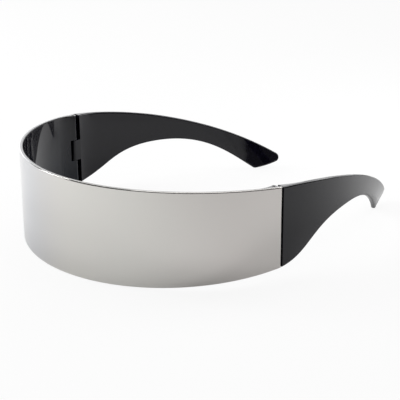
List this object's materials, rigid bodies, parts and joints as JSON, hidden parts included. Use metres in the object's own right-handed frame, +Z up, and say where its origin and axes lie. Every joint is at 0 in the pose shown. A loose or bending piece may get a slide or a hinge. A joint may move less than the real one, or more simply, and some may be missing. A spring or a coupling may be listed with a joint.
{
  "type": "shield sunglasses",
  "caption": "Wrap-around shield sunglasses: one curved mirrored lens band that is also the front frame, a nose saddle behind it, and black temples that fold on hinge pins.",
  "frame": {"origin": "on the surface the glasses stand on, under the middle of their box", "axes": "+Z up, the lens front faces -Y, the temples run back along +Y, the wearer's left is +X"},
  "size_m": [0.1524, 0.174, 0.0432],
  "materials": {
    "mirror_lens": "polycarbonate with a silver mirror coat outside, dark smoke inside",
    "black_temple": "moulded black plastic, glossy with a fine moulded waviness",
    "nose_saddle": "moulded dark smoke plastic, satin",
    "steel_pin": "drawn steel wire, cut ends"
  },
  "bodies": {
    "front": {"lens_shield": "mirror_lens", "nose_bridge": "nose_saddle", "left_hinge_pin": "steel_pin", "right_hinge_pin": "steel_pin"},
    "left_arm": {"left_temple": "black_temple"},
    "right_arm": {"right_temple": "black_temple"}
  },
  "joints": [
    {"name": "left_temple_hinge", "type": "hinge", "parent": "front", "child": "left_arm", "pos_m": [0.07286, -0.02374, 0], "axis": [0, 0, 1], "range_deg": [0, 78]},
    {"name": "right_temple_hinge", "type": "hinge", "parent": "front", "child": "right_arm", "pos_m": [-0.07286, -0.02374, 0], "axis": [0, 0, -1], "range_deg": [0, 95]}
  ]
}
